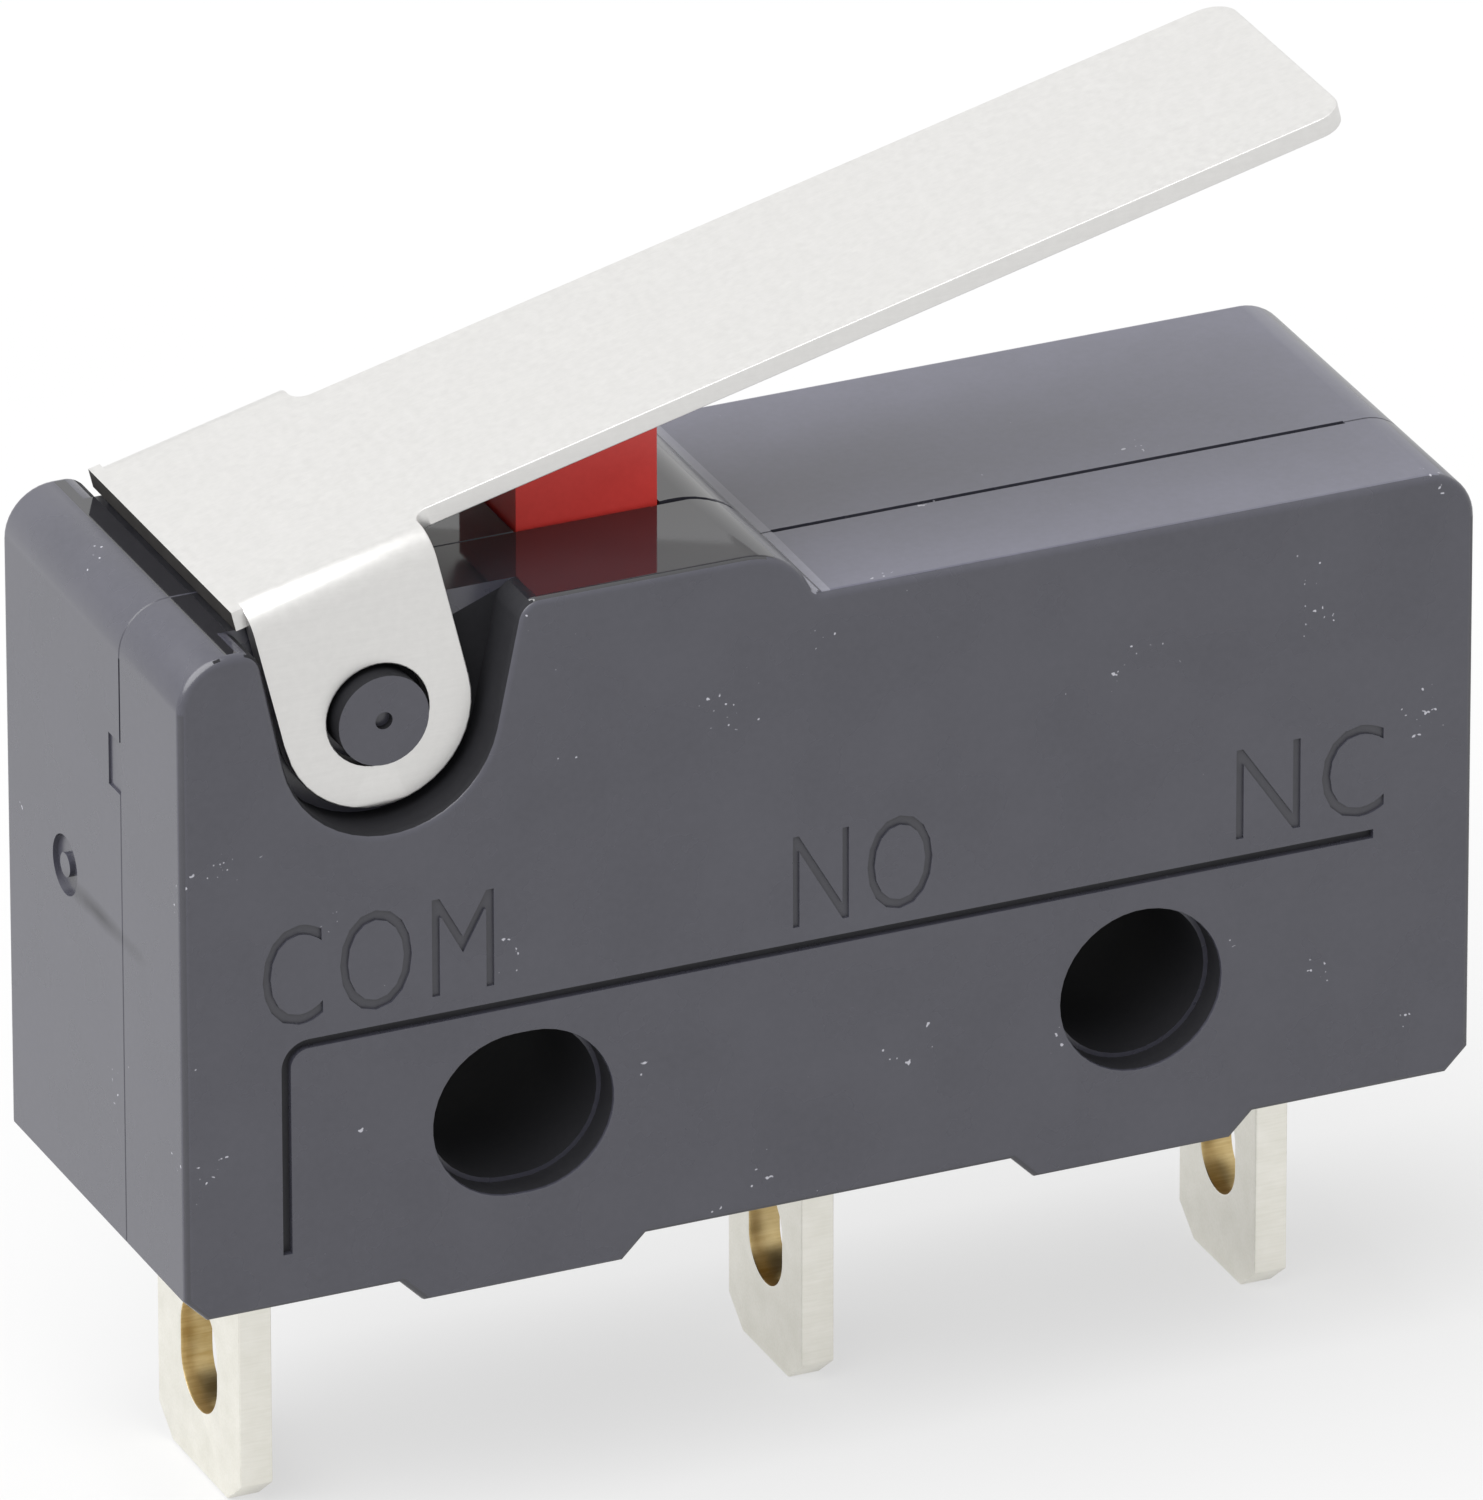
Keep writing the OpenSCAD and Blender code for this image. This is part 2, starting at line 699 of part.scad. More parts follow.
module nc_contact() {
    color("#d9d6cc") placed() {
        contact_head(nc_arm_z, false);
        shank(nc_arm_z - 0.1, term_t + 0.1);
    }
}

module moving_contact() {
    color("#d9d6cc") placed() {
        contact_head(blade_z, false);
        contact_head(blade_z + blade_t, true);
        shank(blade_z - 0.1, blade_t + 0.2);
    }
}

// Blade: two legs that bear on the knife edges, and the arm that carries the moving contact
module blade() {
    half = blade_w / 2;
    end_half = contact_d / 2 + 0.1;
    window_end = post_x - blade_t / 2 - 0.3;
    narrow_x = contact_x - taper_end;
    color("#c79a4e") placed() {
        difference() {
            translate([0, 0, blade_z]) linear_extrude(blade_t) difference() {
                polygon([
                    [knife_x - 0.05, -half], [narrow_x - taper_l, -half], [narrow_x, -end_half],
                    [contact_end, -end_half], [contact_end, end_half],
                    [narrow_x, end_half], [narrow_x - taper_l, half], [knife_x - 0.05, half]
                ]);
                translate([knife_x - 1, -window_w / 2]) square([window_end - knife_x + 1, window_w]);
            }
            shank_hole(blade_z);
        }
        translate([post_x - blade_t / 2, -post_w / 2, blade_z + blade_t / 2])
            cube([blade_t, post_w, post_h + blade_t / 2]);
    }
}

// Rocker between the plunger and the spring
module rocker() {
    color("#b8b4a8") placed() {
        difference() {
            translate([0, 0, rocker_h - rocker_t]) linear_extrude(rocker_t) {
                translate([rocker_x - rocker_tail_l, -rocker_w / 2])
                    square([rocker_tip_x - rocker_x + rocker_tail_l, rocker_w]);
                translate([rocker_x - rocker_tail_l, -rocker_tail_w / 2])
                    square([rocker_tail_l, rocker_tail_w]);
            }
            translate([hook_x, 0, rocker_h - 1]) cylinder(h = 2, r = hook_d / 2);
        }
    }
}

// Ring of points around a place on the wire, square to the way it runs
function wire_ring(at, way, n) = let (
    w = way / norm(way),
    side = cross(w, abs(w[1]) < 0.9 ? [0, 1, 0] : [0, 0, 1]),
    a = side / norm(side),
    b = cross(w, a)
) [for (i = [0:n - 1]) at + wire_d / 2 * (cos(360 * i / n) * a + sin(360 * i / n) * b)];

// Wire swept along a path
module wire(path, n) {
    last = len(path) - 1;
    rings = [for (i = [0:last])
        wire_ring(path[i], path[min(i + 1, last)] - path[max(i - 1, 0)], n)];
    sides = [for (i = [0:last - 1], j = [0:n - 1]) let (k = (j + 1) % n)
        [i * n + j, i * n + k, (i + 1) * n + k, (i + 1) * n + j]];
    ends = [[for (j = [n - 1:-1:0]) j], [for (j = [0:n - 1]) last * n + j]];
    polyhedron([for (ring = rings) for (p = ring) p], concat(sides, ends), convexity = 10);
}

// Tension spring from the rocker's tip to the tab on the blade
module coil_spring() {
    wire_r = wire_d / 2;
    steps = spring_turns * coil_steps;
    hook_in = hook_x + hook_d / 2 - wire_r - 0.02;
    over = rocker_h + wire_r + 0.04;
    under = rocker_h - rocker_t - wire_r - 0.06;
    tab_top = blade_z + blade_t + post_h;
    behind = post_x + blade_t / 2 + wire_r + 0.03;
    left_hook = [
        [hook_in + 0.3, 0, under], [hook_in + 0.06, 0, under + 0.06],
        [hook_in, 0, rocker_z], [hook_in + 0.04, 0, over - 0.02],
        [hook_in + 0.3, 0, over + 0.06], [coil_start - 0.15, 0, rocker_z + coil_r - 0.02]
    ];
    right_hook = [
        [coil_end + 0.15, 0, rocker_z + coil_r - 0.02],
        [post_x - 0.15, 0, tab_top + wire_r + 0.1], [post_x + 0.1, 0, tab_top + wire_r + 0.05],
        [behind, 0, tab_top - 0.08], [behind, 0, tab_top - 0.4]
    ];
    coil = [for (i = [0:steps]) let (a = 90 + 360 * i / coil_steps) [
        coil_start + (coil_end - coil_start) * i / steps,
        coil_r * cos(a), rocker_z + coil_r * sin(a)
    ]];
    color("#a8a6a0") placed() wire(concat(left_hook, coil, right_hook), 6);
}

case();
cover();
plunger();
lever();
com_terminal();
no_terminal();
nc_terminal();
rocker();
blade();
coil_spring();
moving_contact();
no_contact();
nc_contact();
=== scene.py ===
# %% [markdown]
# # A subminiature lever switch
# This lesson dresses a snap-action switch that is about 20 mm long. Its solids come from a CAD model:
# two moulded shells, a folded metal lever, a red plunger and three solder terminals. The solids are exact
# but razor sharp and plain, so each visible piece gets softened edges, marks and a finish of its own.

import json
import math

import bpy
from mathutils import Matrix, Vector

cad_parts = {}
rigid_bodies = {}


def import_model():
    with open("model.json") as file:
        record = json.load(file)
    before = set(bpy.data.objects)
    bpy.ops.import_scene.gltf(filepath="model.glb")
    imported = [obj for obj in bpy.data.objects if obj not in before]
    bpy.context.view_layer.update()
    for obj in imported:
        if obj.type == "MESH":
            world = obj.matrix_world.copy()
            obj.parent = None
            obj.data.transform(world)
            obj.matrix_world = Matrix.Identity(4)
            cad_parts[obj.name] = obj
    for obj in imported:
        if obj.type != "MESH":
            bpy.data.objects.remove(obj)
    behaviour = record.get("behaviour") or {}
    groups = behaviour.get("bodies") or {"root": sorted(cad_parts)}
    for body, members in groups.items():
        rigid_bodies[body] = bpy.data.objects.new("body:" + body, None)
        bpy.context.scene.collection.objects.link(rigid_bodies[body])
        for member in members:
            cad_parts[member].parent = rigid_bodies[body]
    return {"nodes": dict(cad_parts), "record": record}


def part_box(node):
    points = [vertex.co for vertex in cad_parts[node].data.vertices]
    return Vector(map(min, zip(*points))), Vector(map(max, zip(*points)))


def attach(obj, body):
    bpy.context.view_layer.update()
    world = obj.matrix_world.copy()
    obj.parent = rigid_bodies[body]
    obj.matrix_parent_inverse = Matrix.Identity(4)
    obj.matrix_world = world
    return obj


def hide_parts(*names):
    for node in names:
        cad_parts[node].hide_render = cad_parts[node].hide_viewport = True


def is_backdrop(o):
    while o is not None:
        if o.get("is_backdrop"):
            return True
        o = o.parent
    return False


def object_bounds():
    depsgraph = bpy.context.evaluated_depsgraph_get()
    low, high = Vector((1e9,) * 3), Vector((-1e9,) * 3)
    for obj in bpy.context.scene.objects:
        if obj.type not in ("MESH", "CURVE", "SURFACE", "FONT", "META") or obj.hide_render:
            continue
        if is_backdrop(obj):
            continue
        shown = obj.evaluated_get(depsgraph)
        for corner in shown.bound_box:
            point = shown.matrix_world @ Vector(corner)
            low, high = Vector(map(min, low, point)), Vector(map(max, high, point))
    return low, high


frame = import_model()
cad_low, cad_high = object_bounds()
mm = 0.001
print("CAD box in mm:", [round(v / mm, 2) for v in cad_high - cad_low])

# %% [markdown]
# ## The camera
# The switch is seen from its front left corner and from above. A lens of about 600 mm flattens the view,
# as in a catalogue picture, so the camera stands over a third of a metre away from a part of 20 mm.

# %% Camera
azimuth = math.radians(-23.86)
elevation = math.radians(25.87)
roll = math.radians(-0.11)
distance = 359.7 * mm
half_length = 9.9 * mm
aim_height = 2.4 * mm
aim_lift = 0.8 * mm
towards_camera = Vector((
    math.sin(azimuth) * math.cos(elevation),
    -math.cos(azimuth) * math.cos(elevation),
    math.sin(elevation),
))
aim_low = Vector((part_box("case")[0][0] + half_length, 0, aim_height))
picture_up = Vector((0, 0, 1)).cross(towards_camera).normalized()
picture_up = towards_camera.cross(picture_up)

bpy.ops.object.camera_add(location=aim_low + towards_camera * distance)
camera = bpy.context.object
camera.name = "camera"
aim = aim_low + picture_up * aim_lift
look = (aim - camera.location).to_track_quat("-Z", "Y")
camera.rotation_mode = "QUATERNION"
camera.rotation_quaternion = look @ Matrix.Rotation(roll, 3, "Z").to_quaternion()
camera.data.lens = 611.6
camera.data.clip_start = 0.02
camera.data.clip_end = 20
bpy.context.scene.camera = camera
print("camera stands", round((camera.location - aim).length, 4), "m away")

# %% [markdown]
# ## Floor and light
# A white studio: a pale floor that runs out of sight, an even white sky, and one broad soft lamp high on
# the left. The lamp lifts the left end and the roof over the front face, and gives the switch its soft
# shadow. The sky is fully white to the eye and to gloss, and a little darker as a lamp.

# %% Floor and lamp
def select_only(thing):
    """Deselects everything, then selects one object and makes it the active one."""
    bpy.ops.object.select_all(action="DESELECT")
    thing.select_set(True)
    bpy.context.view_layer.objects.active = thing


floor_width = 6
floor_gap = 0.02 * mm
bpy.ops.mesh.primitive_plane_add(size=floor_width, location=(0, 0, cad_low[2] - floor_gap))
floor = bpy.context.object
floor.name = "floor"
floor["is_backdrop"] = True

bpy.ops.object.light_add(type="SUN", location=(-0.3, -0.1, 0.4))
lamp = bpy.context.object
lamp.name = "broad_lamp"
lamp_side = Vector((-0.57, -0.05, 0.82))  # from the switch towards the lamp
lamp.rotation_mode = "QUATERNION"
lamp.rotation_quaternion = lamp_side.to_track_quat("Z", "Y")
lamp.data.energy = 5.0
lamp.data.angle = math.radians(80)

bpy.context.scene.view_settings.view_transform = "Standard"

# %% [markdown]
# ## Two small helpers for finishes
# Colours are chosen as they look on a screen, in sRGB, and turned to the linear values that light needs.
# `add` puts one node in a material, sets its values and makes its links, so a finish reads as a list.

# %% Helpers for finishes
def linear(hex_colour):
    """Turns an sRGB colour such as 'c0ffee' into linear red, green, blue and alpha."""
    channels = [int(hex_colour[i:i + 2], 16) / 255 for i in (0, 2, 4)]
    return [c / 12.92 if c <= 0.04045 else ((c + 0.055) / 1.055) ** 2.4 for c in channels] + [1]


def add(tree, kind, values=(), links=(), **settings):
    """Adds a node. values fills its sockets by name or number, links joins them to other nodes' outputs."""
    made = tree.nodes.new("ShaderNode" + kind)
    for name, value in settings.items():
        setattr(made, name, value)
    for name, value in dict(values).items():
        made.inputs[name].default_value = value
    for name, output in dict(links).items():
        tree.links.new(output, made.inputs[name])
    return made


def new_finish(name):
    """Starts a material and returns it with its node tree, its shader and its surface coordinates."""
    finish = bpy.data.materials.new(name)
    finish.use_nodes = True
    tree = finish.node_tree
    shader = tree.nodes["Principled BSDF"]
    place = add(tree, "TexCoord").outputs["Object"]
    return finish, tree, shader, place


def two_tones(tree, height, dark, light, low=0.3, high=0.7):
    """Turns a height from 0 to 1 into a colour between two sRGB tones."""
    ramp = add(tree, "ValToRGB", links={"Fac": height})
    for element, position, tone in zip(ramp.color_ramp.elements, (low, high), (dark, light)):
        element.position = position
        element.color = linear(tone)
    return ramp.outputs["Color"]


def seen_directly(tree):
    """Gives 1 to rays from the eye, from gloss or through glass, and 0 to rays that only carry light."""
    rays = add(tree, "LightPath").outputs
    seen = add(tree, "Math", {}, {0: rays["Is Camera Ray"], 1: rays["Is Glossy Ray"]}, operation="MAXIMUM")
    seen = add(tree, "Math", {}, {0: seen.outputs[0], 1: rays["Is Transmission Ray"]}, operation="MAXIMUM")
    return seen.outputs[0]


# %% Sky
world = bpy.data.worlds.new("studio")
bpy.context.scene.world = world
world.use_nodes = True
sky = world.node_tree
level = add(sky, "MapRange", {"To Min": 0.7, "To Max": 1.0}, {"Value": seen_directly(sky)})
background = sky.nodes["Background"]
background.inputs["Color"].default_value = (1, 1, 1, 1)
sky.links.new(level.outputs[0], background.inputs["Strength"])

# %% Floor paper
# Dull white paper: to the eye it is nearly the background, with only the switch's soft shadow on it
paper, tree, shader, place = new_finish("white_floor_paper")
grain = add(tree, "TexNoise", {"Scale": 30, "Detail": 3}, {"Vector": place})
tree.links.new(two_tones(tree, grain.outputs["Fac"], "bababa", "bebebe"), shader.inputs["Base Color"])
shader.inputs["Roughness"].default_value = 0.9
shader.inputs["Specular IOR Level"].default_value = 0.1
# To the eye and to gloss the paper is a white that is only partly shaded
share = add(tree, "MapRange", {"To Min": 0.0, "To Max": 0.6}, {"Value": seen_directly(tree)})
white = add(tree, "Emission", {"Color": (1, 1, 1, 1), "Strength": 1.0})
mixed = add(tree, "MixShader", {}, {0: share.outputs[0], 1: shader.outputs[0], 2: white.outputs[0]})
tree.links.new(mixed.outputs[0], tree.nodes["Material Output"].inputs["Surface"])
floor.data.materials.append(paper)

# %% [markdown]
# ## Moulded plastic
# The shells are a glass-filled polyester (PBT), moulded in polished steel. The face keeps a slight sheen,
# the glass fibre clouds it a little, and shrinkage leaves it very softly uneven. Handling leaves a few
# pale flecks of dust and plastic crumbs. The deck under the lever comes out of the mould almost like a
# mirror, and its near-black colour is painted shade from the lever. The bores and pockets are dull, and
# their near-black colour is painted shade.

# %% Layers of moulded plastic
def flecked(tree, place, colour, tone):
    """Adds pale crumbs 0.03 to 0.08 mm wide, thinned out by a second, broader noise."""
    crumbs = add(tree, "TexNoise", {"Scale": 11000, "Detail": 1}, {"Vector": place})
    spread = add(tree, "TexNoise", {"Scale": 800, "Detail": 2}, {"Vector": place})
    peaks = add(tree, "Math", {}, {0: crumbs.outputs["Fac"], 1: spread.outputs["Fac"]},
                operation="MULTIPLY")
    crumb = add(tree, "MapRange", {"From Min": 0.5, "From Max": 0.53}, {"Value": peaks.outputs[0]})
    mixed = add(tree, "Mix", {"B": linear(tone)}, {"Factor": crumb.outputs[0], "A": colour},
                data_type="RGBA")
    return mixed.outputs["Result"]


def wiped(tree, shader, place, clouds, colour, centre, reach, tone, full=0.7):
    """Adds a faint dark wipe: a stretched ball around its centre in mm, broken up by the clouds."""
    size = tuple(1 / (half * mm) for half in reach)
    around = add(tree, "Mapping", {"Location": tuple(-c * mm * s for c, s in zip(centre, size)),
                                   "Scale": size}, {"Vector": place})
    away = add(tree, "VectorMath", {}, {0: around.outputs[0]}, operation="LENGTH")
    ragged = add(tree, "Math", {}, {0: away.outputs["Value"], 1: clouds}, operation="ADD")
    wipe = add(tree, "MapRange", {"From Min": 1.5, "From Max": 0.7, "To Max": full},
               {"Value": ragged.outputs[0]})
    mixed = add(tree, "Mix", {"B": linear(tone)}, {"Factor": wipe.outputs[0], "A": colour},
                data_type="RGBA")
    sheen = add(tree, "MapRange", {"From Max": full, "To Min": 0.5, "To Max": 0.2},
                {"Value": wipe.outputs[0]})
    tree.links.new(sheen.outputs[0], shader.inputs["Specular IOR Level"])
    return mixed.outputs["Result"]


def shrunk(tree, place, wave, grain):
    """Shrinkage: waves about 2 mm long and a few microns deep, and a fine skin of 0.1 mm grains."""
    waves = add(tree, "TexNoise", {"Scale": 450, "Detail": 1}, {"Vector": place})
    skin = add(tree, "TexNoise", {"Scale": 7000, "Detail": 2}, {"Vector": place})
    broad = add(tree, "Bump", {"Strength": wave, "Distance": 0.00003}, {"Height": waves.outputs["Fac"]})
    fine = add(tree, "Bump", {"Strength": grain, "Distance": 0.000006},
               {"Height": skin.outputs["Fac"], "Normal": broad.outputs[0]})
    return fine.outputs[0]


# %% Moulded plastic
def moulded_pbt(name, dark, light, gloss, flecks=None, smudge=None, index=1.63):
    """A plastic of two close tones. gloss is its roughness, and index its index of refraction."""
    finish, tree, shader, place = new_finish(name)
    clouds = add(tree, "TexNoise", {"Scale": 700, "Detail": 4, "Roughness": 0.5}, {"Vector": place})
    specks = add(tree, "TexNoise", {"Scale": 9000, "Detail": 2}, {"Vector": place})
    both = add(tree, "Mix", {"Factor": 0.35}, {"A": clouds.outputs["Fac"], "B": specks.outputs["Fac"]})
    colour = two_tones(tree, both.outputs[0], dark, light)
    if flecks:
        colour = flecked(tree, place, colour, flecks)
    if smudge:
        colour = wiped(tree, shader, place, clouds.outputs["Fac"], colour, *smudge)
    dull = add(tree, "MapRange", {"To Min": gloss * 0.85, "To Max": gloss * 1.2},
               {"Value": clouds.outputs["Fac"]})
    # What shines like a mirror is also flatter
    wave, grain = (0.2, 0.05) if gloss > 0.2 else (0.05, 0.003)
    tree.links.new(colour, shader.inputs["Base Color"])
    tree.links.new(dull.outputs[0], shader.inputs["Roughness"])
    tree.links.new(shrunk(tree, place, wave, grain), shader.inputs["Normal"])
    shader.inputs["IOR"].default_value = index
    return finish


# %% Finishes of the plastic
# A slate grey face with a slight sheen, a few pale crumbs, and a dark wipe beside the gate mark
gate_wipe = ((-14.65, -0.2, 2.78), (0.3, 1.7, 0.22), "1c1c20")
dark_pbt = moulded_pbt("dark_grey_pbt", "383841", "404049", 0.27, flecks="a8a8b0", smudge=gate_wipe)
# A finely roughened mould makes the roof more even than the face, and its paler colour is painted light from
# above
light_painted_roof_pbt = moulded_pbt("painted_light_roof_finish", "555561", "5f5f6c", 0.33, flecks="a8a8b0")
# The fillet at the foot of the ramp is painted pale, as a painted highlight line
highlight_painted_foot_pbt = moulded_pbt("painted_highlight_fillet", "70707a", "7c7c86", 0.35)
# The deck mirrors the plunger, and its near-black colour is painted shade from the lever above it
shade_painted_deck_pbt = moulded_pbt("mirror_deck_with_painted_shade", "1c1c20", "222226", 0.06, index=1.8)
# The bores and pockets are painted near black as painted shade, and are rough so that they hardly reflect
shade_painted_hollow_pbt = moulded_pbt("painted_shade_hollow_finish", "1e1e21", "252528", 0.7, index=1.25)
# The floors of the letters look one shade darker than the face
mark_pbt = moulded_pbt("engraving_pbt", "2f2f36", "36363d", 0.5)
# The floor of the line is deeper, and darker still
line_pbt = moulded_pbt("engraved_line_pbt", "222226", "29292d", 0.5, index=1.4)
# The plunger is an even, slightly waxy red
red_acetal = moulded_pbt("red_acetal", "de403b", "ea4a44", 0.3, index=1.48)

# %% [markdown]
# ## Metals
# The lever is cold rolled stainless strip, tumbled after stamping, so it is pale and satin with hardly any
# grain. The terminals are silver plated brass: pale and a little warm, with raw brass where the slot was
# punched after plating. The sheared end face of the lever's tail is dull, and painted dark as the shade in
# the gap where it sits.

# %% Satin strip
def satin_strip(name, dark, light, gloss, grain_depth=0.1, stain_scale=2500):
    """A metal strip of two close tones. gloss is its mean roughness."""
    finish, tree, shader, place = new_finish(name)
    # Rolling grain runs along X: about 0.03 mm across and 0.5 mm long
    along = add(tree, "Mapping", {"Scale": (2000, 26000, 26000)}, {"Vector": place})
    grain = add(tree, "TexNoise", {"Scale": 1, "Detail": 3}, {"Vector": along.outputs[0]})
    stains = add(tree, "TexNoise", {"Scale": stain_scale, "Detail": 4}, {"Vector": place})
    both = add(tree, "Mix", {"Factor": 0.6}, {"A": grain.outputs["Fac"], "B": stains.outputs["Fac"]})
    dull = add(tree, "MapRange", {"To Min": gloss - 0.05, "To Max": gloss + 0.05},
               {"Value": stains.outputs["Fac"]})
    bump = add(tree, "Bump", {"Strength": grain_depth, "Distance": 0.000004},
               {"Height": grain.outputs["Fac"]})
    tree.links.new(two_tones(tree, both.outputs[0], dark, light, 0.35, 0.65),
                   shader.inputs["Base Color"])
    tree.links.new(dull.outputs[0], shader.inputs["Roughness"])
    tree.links.new(bump.outputs[0], shader.inputs["Normal"])
    shader.inputs["Metallic"].default_value = 1
    return finish


# %% Finishes of the metals
# Tumbling makes the lever an even, pale satin with almost no grain
lever_steel = satin_strip("tumbled_stainless_strip", "d7d6d4", "dcdbd9", 0.36, 0.03, stain_scale=9000)
# The tail's sheared end face is dull, and painted dark as the shade in the gap around it
shade_painted_tail_steel = satin_strip("painted_shade_tail_end", "3e3c3a", "4a4846", 0.6)
# Hard spring steel is greyer and shines more
spring_steel = satin_strip("spring_steel", "9c9a94", "b2b0aa", 0.3)
# The blade is a warm, reddish gold
blade_copper = satin_strip("beryllium_copper", "b98b42", "cfa35c", 0.32)
# The contacts are a warm white
contact_silver = satin_strip("silver_alloy", "cfcdc4", "e2e0d8", 0.3)
# Thin silver over brass is nearly white, with a little warmth
plated_brass = satin_strip("silver_plated_brass", "e6e4da", "f0eee6", 0.42, 0.05)
# The punched slot walls glow yellow where the plating is missing
raw_brass = satin_strip("raw_punched_brass", "b89d66", "d6c08e", 0.4)

# %% [markdown]
# ## Reference places
# Places are in millimetres from the axis of the round mounting hole. The outer faces, the slot and the
# lever's bosses are read from the CAD model and its record. Smaller places, such as the foot of the ramp,
# are typed here. The seam between the shells lies nearer to the front, and the deck is a step above the roof.

# %% Reference places
def corners(node):
    """The low and high corner of a CAD piece, in mm."""
    return [[v / mm for v in corner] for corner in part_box(node)]


mounts = {mount["name"]: mount for mount in frame["record"]["mounts"]}
joints = {joint["name"]: joint for joint in frame["record"]["behaviour"]["joints"]}
(left, seam, feet), (right, back, deck) = corners("case")
front = corners("cover")[0][1]
slot_x = mounts["mounting_slot"]["pos_m"][0] / mm
boss_x, _, boss_z = (v / mm for v in joints["lever_hinge"]["pos_m"])
foot_height = 0.35
deck_step = 0.75
base = feet + foot_height
roof = deck - deck_step
foot_of_ramp = -4.8
near = 0.004  # how far a point may lie from a plane and still count as on it
print("left", round(left, 2), "seam", round(seam, 2), "deck", round(deck, 2))

# %% [markdown]
# ## Clean copies of the solids
# Each visible piece starts as a copy of its CAD solid. The copy's triangles are merged, and triangles that
# lie in one plane become one face, so that edges and faces can be chosen by their place.

# %% Copying and choosing
def clean_copy(node, name, finishes):
    """Copies a CAD solid, merges its triangles into flat faces and gives it its list of finishes."""
    select_only(frame["nodes"][node])
    bpy.ops.object.duplicate()
    piece = bpy.context.object
    piece.name = name
    bpy.ops.object.parent_clear(type="CLEAR_KEEP_TRANSFORM")
    piece.data.materials.clear()
    for finish in finishes:
        piece.data.materials.append(finish)
    bpy.ops.mesh.customdata_custom_splitnormals_clear()
    bpy.ops.object.mode_set(mode="EDIT")
    bpy.ops.mesh.select_all(action="SELECT")
    bpy.ops.mesh.remove_doubles(threshold=0.001 * mm)
    bpy.ops.mesh.dissolve_limited(angle_limit=math.radians(0.5))
    bpy.ops.object.mode_set(mode="OBJECT")
    return piece


def soften(piece, width, steps, rule, upright=False):
    """Bevels the sharp edges whose two ends both pass rule(x, y, z). Widths and places are in mm."""
    select_only(piece)
    bpy.ops.object.mode_set(mode="EDIT")
    bpy.ops.mesh.select_mode(type="EDGE")
    bpy.ops.mesh.select_all(action="DESELECT")
    bpy.ops.mesh.edges_select_sharp(sharpness=math.radians(30))
    bpy.ops.object.mode_set(mode="OBJECT")
    points = [vertex.co / mm for vertex in piece.data.vertices]
    piece.data.polygons.foreach_set("select", [False] * len(piece.data.polygons))
    for edge in piece.data.edges:
        edge.select = edge.select and all(rule(*points[end]) for end in edge.vertices)
        if upright:
            way = points[edge.vertices[0]] - points[edge.vertices[1]]
            edge.select = edge.select and abs(way.normalized().z) > 0.99
    chosen = sum(edge.select for edge in piece.data.edges)
    bpy.ops.object.mode_set(mode="EDIT")
    bpy.ops.mesh.bevel(offset=width * mm, segments=steps, clamp_overlap=False)
    bpy.ops.object.mode_set(mode="OBJECT")
    print(piece.name, "softened", chosen, "edges by", width, "mm")


def paint(piece, number, rule):
    """Gives one of the piece's finishes to the faces that pass rule(centre, normal)."""
    for face in piece.data.polygons:
        if rule(face.center / mm, face.normal):
            face.material_index = number


def cut(piece, cutter):
    """Cuts one solid out of the piece and deletes the cutter."""
    select_only(piece)
    tool = piece.modifiers.new("cut", "BOOLEAN")
    tool.operation = "DIFFERENCE"
    tool.solver = "EXACT"
    tool.object = cutter
    bpy.ops.object.modifier_apply(modifier="cut")
    bpy.data.objects.remove(cutter)


def block(low, high):
    """A box between two corners, given in mm."""
    low, high = Vector(low) * mm, Vector(high) * mm
    bpy.ops.mesh.primitive_cube_add(size=1, location=(low + high) / 2)
    made = bpy.context.object
    made.scale = high - low
    bpy.ops.object.transform_apply(location=True, rotation=True, scale=True)
    return made


def hand_over(piece, node, body):
    """Shades the piece smooth between its sharp edges and lets it stand in for its CAD solid."""
    select_only(piece)
    bpy.ops.object.shade_smooth_by_angle(angle=math.radians(35))
    bpy.ops.object.modifier_add(type="WEIGHTED_NORMAL")
    piece.modifiers[-1].keep_sharp = True
    bpy.ops.object.modifier_apply(modifier=piece.modifiers[-1].name)
    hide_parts(node)
    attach(piece, body)
    print(piece.name, "has", len(piece.data.polygons), "faces")


# %% [markdown]
# ## The shells
# The outer rim of each shell is rounded by about 0.12 mm, as a mould leaves it. The seam edges keep a
# radius of only 0.02 mm, so that the shells close to a hairline. On the roof the shells don't quite meet,
# and the seam opens to a dark slit that ends before the right end.

# %% Rims of the shells
def on_outline(x, z):
    """True outside the field that holds the bores and the engraved line."""
    return not (left + 1.2 < x < right - 1.2 and base + 0.6 < z < base + 4.4)


def on_rim(plane):
    """Picks the outer rim of the face that lies at y = plane."""
    return lambda x, y, z: abs(y - plane) < near and on_outline(x, z)


def on_bore(plane):
    """Picks the mouths of the two holes in that face."""
    return lambda x, y, z: (abs(y - plane) < near and abs(z) < 1.3
                            and min(abs(x), abs(x - slot_x)) < 1.45)


def on_seam(x, y, z):
    """True on the outer edges where the shells meet."""
    return (abs(y - seam) < near
            and (x < left + near or x > right - near or z > roof - 1.8 or z < base + 0.5))


